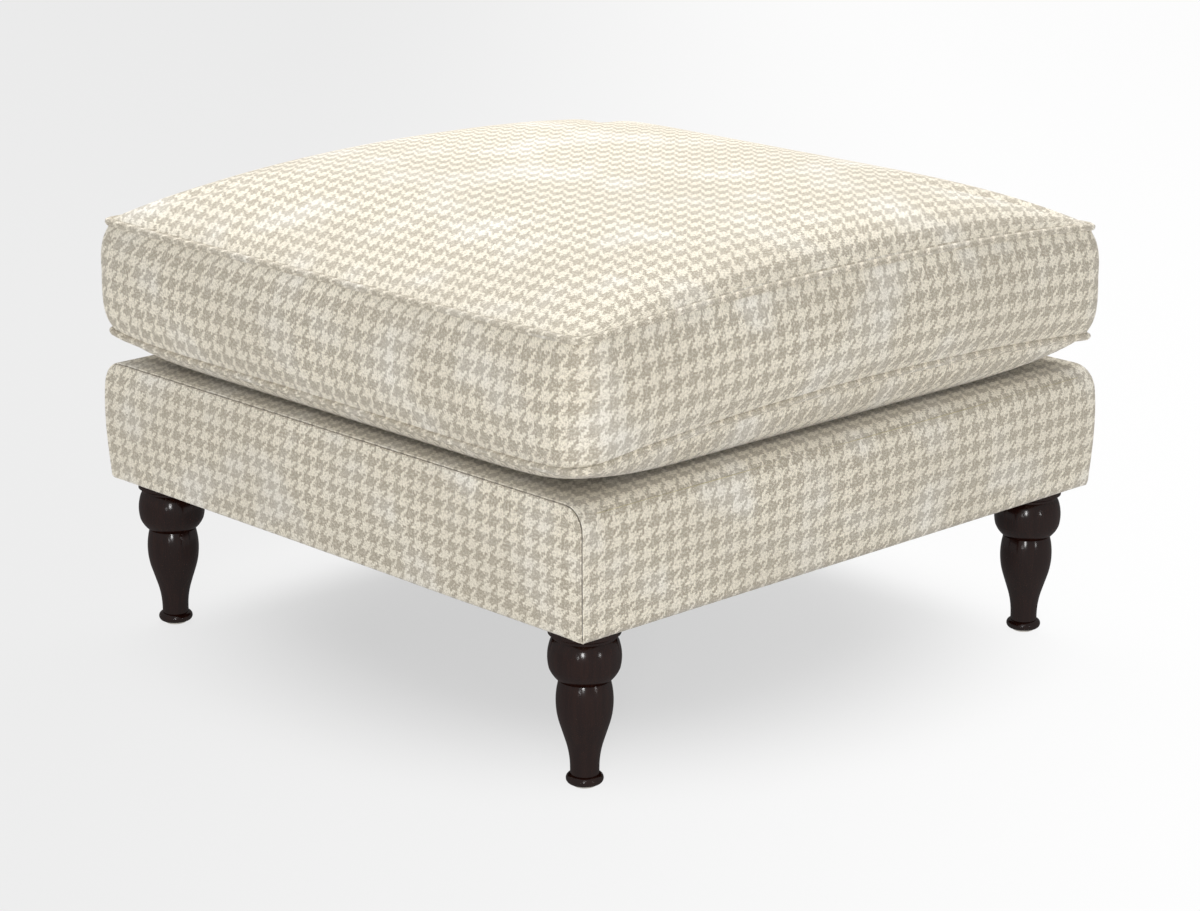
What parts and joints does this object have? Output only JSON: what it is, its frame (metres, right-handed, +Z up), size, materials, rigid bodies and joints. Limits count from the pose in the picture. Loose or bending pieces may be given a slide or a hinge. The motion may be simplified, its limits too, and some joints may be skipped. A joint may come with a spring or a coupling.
{
  "type": "footstool",
  "caption": "Square upholstered footstool with a loose piped box cushion in houndstooth cloth, a webbed hardwood frame and turned dark legs.",
  "frame": {"origin": "on the floor under the middle of the stool", "axes": "+Z up; -Y is the front, which the base cover wraps over; +Y is the back, where the cushion's zip is; +X is the right-hand side as seen from the front"},
  "size_m": [0.694, 0.694, 0.4644],
  "materials": {
    "houndstooth_cloth": "matte",
    "piping_cloth": "matte",
    "leg_lacquer": "gloss",
    "glide_steel": "satin",
    "zinc_steel": "satin",
    "frame_wood": "matte",
    "dowel_wood": "matte",
    "jute_webbing": "matte",
    "hessian_cloth": "matte",
    "foam": "matte",
    "fibre": "matte",
    "dust_cloth": "matte",
    "zip_cloth": "matte",
    "zip_nylon": "satin",
    "zip_metal": "satin"
  },
  "bodies": {
    "base": {"leg_front_left": "leg_lacquer", "leg_front_right": "leg_lacquer", "leg_back_left": "leg_lacquer", "leg_back_right": "leg_lacquer", "glide_front_left": "glide_steel", "glide_front_right": "glide_steel", "glide_back_left": "glide_steel", "glide_back_right": "glide_steel", "leg_bolts": "zinc_steel", "tee_nuts": "zinc_steel", "corner_block_front_left": "frame_wood", "corner_block_front_right": "frame_wood", "corner_block_back_left": "frame_wood", "corner_block_back_right": "frame_wood", "rail_front": "frame_wood", "rail_back": "frame_wood", "rail_left": "frame_wood", "rail_right": "frame_wood", "rail_dowels": "dowel_wood", "webbing_across_1": "jute_webbing", "webbing_across_2": "jute_webbing", "webbing_across_3": "jute_webbing", "webbing_across_4": "jute_webbing", "webbing_across_5": "jute_webbing", "webbing_along_1": "jute_webbing", "webbing_along_2": "jute_webbing", "webbing_along_3": "jute_webbing", "webbing_along_4": "jute_webbing", "webbing_along_5": "jute_webbing", "hessian": "hessian_cloth", "deck_foam": "foam", "rail_wadding_front": "fibre", "rail_wadding_back": "fibre", "rail_wadding_left": "fibre", "rail_wadding_right": "fibre", "base_cover": "houndstooth_cloth", "facing_left": "houndstooth_cloth", "facing_right": "houndstooth_cloth", "dust_cover": "dust_cloth"},
    "cushion": {"cushion_core": "foam", "cushion_wadding_top": "fibre", "cushion_wadding_bottom": "fibre", "cushion_top_panel": "houndstooth_cloth", "cushion_bottom_panel": "houndstooth_cloth", "cushion_border": "houndstooth_cloth", "zip_panel_upper": "houndstooth_cloth", "zip_panel_lower": "houndstooth_cloth", "piping_top": "piping_cloth", "piping_bottom": "piping_cloth", "zip_tape": "zip_cloth", "zip_chain": "zip_nylon", "zip_stops": "zip_metal"},
    "slider": {"zip_slider": "zip_metal"},
    "pull_tab": {"zip_pull": "zip_metal"}
  },
  "joints": [
    {"name": "cushion_lift", "type": "slide", "parent": "base", "child": "cushion", "axis": [0, 0, 1], "range_m": [0, 0.25]},
    {"name": "zip_slide", "type": "slide", "parent": "cushion", "child": "slider", "axis": [1, 0, 0], "range_m": [-0.547, 0]},
    {"name": "zip_pull_turn", "type": "hinge", "parent": "slider", "child": "pull_tab", "pos_m": [0.2738, 0.34535, 0.355], "axis": [0, 0, 1], "range_deg": [0, 180]}
  ]
}
